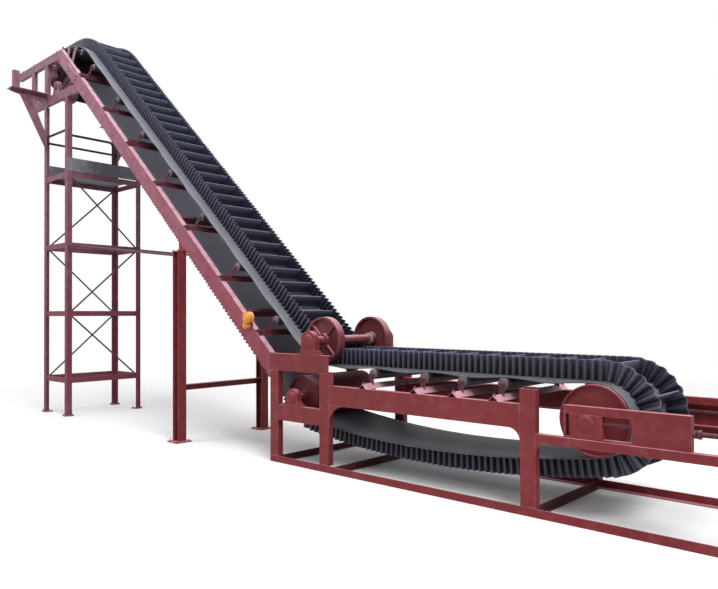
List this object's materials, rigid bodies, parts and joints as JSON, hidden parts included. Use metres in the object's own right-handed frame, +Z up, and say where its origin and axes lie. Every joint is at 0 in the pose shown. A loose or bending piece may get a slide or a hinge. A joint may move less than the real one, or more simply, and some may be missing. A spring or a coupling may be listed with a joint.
{
  "type": "steep incline conveyor",
  "caption": "Steep incline belt conveyor with corrugated sidewalls and cross cleats, on a welded frame with a trestle, a head tower and a screw take-up.",
  "frame": {"origin": "middle of the underside of the base cross bar at the bend, on the floor and the belt's mid-plane", "axes": "+X runs level towards the loading end, +Z is up, and +Y is the drive side"},
  "size_m": [10.52, 2.232, 5.5603],
  "materials": {
    "red_oxide_steel": "flat red oxide primer, brushed on",
    "belt_rubber": "matt grey rubber cover with dust",
    "sidewall_rubber": "near black moulded rubber",
    "switch_yellow": "satin yellow enamel",
    "drive_navy": "dark navy enamel on a casting",
    "drive_green": "grey green enamel on a casting",
    "dark_steel": "dark grey paint",
    "grey_steel": "grey sheet",
    "shaft_steel": "turned steel, oversprayed with primer"
  },
  "bodies": {
    "root": {"base_cross_bars": "red_oxide_steel", "base_rails": "red_oxide_steel", "belt_curves": "belt_rubber", "belt_drum_wraps": "belt_rubber", "belt_straight_runs": "belt_rubber", "belt_switch": "switch_yellow", "bend_beams": "red_oxide_steel", "bend_bearings": "red_oxide_steel", "bend_posts": "red_oxide_steel", "bracing_rods": "dark_steel", "cleats": "sidewall_rubber", "crest_brackets": "red_oxide_steel", "drive_outriggers": "red_oxide_steel", "gearbox": "drive_navy", "gussets": "red_oxide_steel", "handrails": "dark_steel", "head_bearings": "red_oxide_steel", "head_chords": "red_oxide_steel", "head_posts": "red_oxide_steel", "head_rafters": "red_oxide_steel", "idler_brackets": "red_oxide_steel", "idler_members": "red_oxide_steel", "idler_rollers": "dark_steel", "incline_beams": "red_oxide_steel", "incline_ties": "red_oxide_steel", "lower_side_beams": "red_oxide_steel", "mid_posts": "red_oxide_steel", "motor": "drive_navy", "motor_adapter": "drive_green", "platform": "grey_steel", "press_bearings": "red_oxide_steel", "return_bearings": "red_oxide_steel", "sidewalls_curves": "sidewall_rubber", "sidewalls_drum_wraps": "sidewall_rubber", "sidewalls_straight_runs": "sidewall_rubber", "splice_plates": "red_oxide_steel", "switch_bracket": "red_oxide_steel", "tail_frame": "red_oxide_steel", "tail_rails": "red_oxide_steel", "takeup_bearings": "red_oxide_steel", "takeup_frames": "red_oxide_steel", "takeup_screws": "grey_steel", "toe_boards": "grey_steel", "tower_end_ties": "red_oxide_steel", "tower_legs": "red_oxide_steel", "tower_side_ties": "red_oxide_steel", "trestle_legs": "red_oxide_steel", "trestle_saddles": "red_oxide_steel", "trestle_tie": "red_oxide_steel"},
    "head_roll": {"head_drum": "red_oxide_steel", "head_shaft": "shaft_steel"},
    "tail_roll": {"tail_drum": "red_oxide_steel", "tail_shaft": "shaft_steel"},
    "bend_roll": {"bend_drum": "red_oxide_steel", "bend_shaft": "shaft_steel"},
    "press_roll": {"press_wheels": "red_oxide_steel", "press_shaft": "shaft_steel"},
    "return_roll": {"return_wheels": "red_oxide_steel", "return_shaft": "shaft_steel"}
  },
  "joints": [
    {"name": "head_turn", "type": "hinge", "parent": "root", "child": "head_roll", "pos_m": [-6.04, 0, 5.15], "axis": [0, 1, 0], "continuous": true},
    {"name": "tail_turn", "type": "hinge", "parent": "root", "child": "tail_roll", "pos_m": [2.35, 0, 0.7], "axis": [0, 1, 0], "continuous": true},
    {"name": "bend_turn", "type": "hinge", "parent": "root", "child": "bend_roll", "pos_m": [-0.57, 0, 0.645], "axis": [0, 1, 0], "continuous": true},
    {"name": "press_turn", "type": "hinge", "parent": "root", "child": "press_roll", "pos_m": [-0.338, 0, 1.19], "axis": [0, 1, 0], "continuous": true},
    {"name": "return_turn", "type": "hinge", "parent": "root", "child": "return_roll", "pos_m": [-5.72, 0, 4.81], "axis": [0, 1, 0], "continuous": true}
  ],
  "couplings": [
    {"joint": "tail_turn", "follows": "head_turn", "ratio": 1},
    {"joint": "bend_turn", "follows": "head_turn", "ratio": 1.25},
    {"joint": "press_turn", "follows": "head_turn", "ratio": -1.1111},
    {"joint": "return_turn", "follows": "head_turn", "ratio": -1.3158}
  ]
}
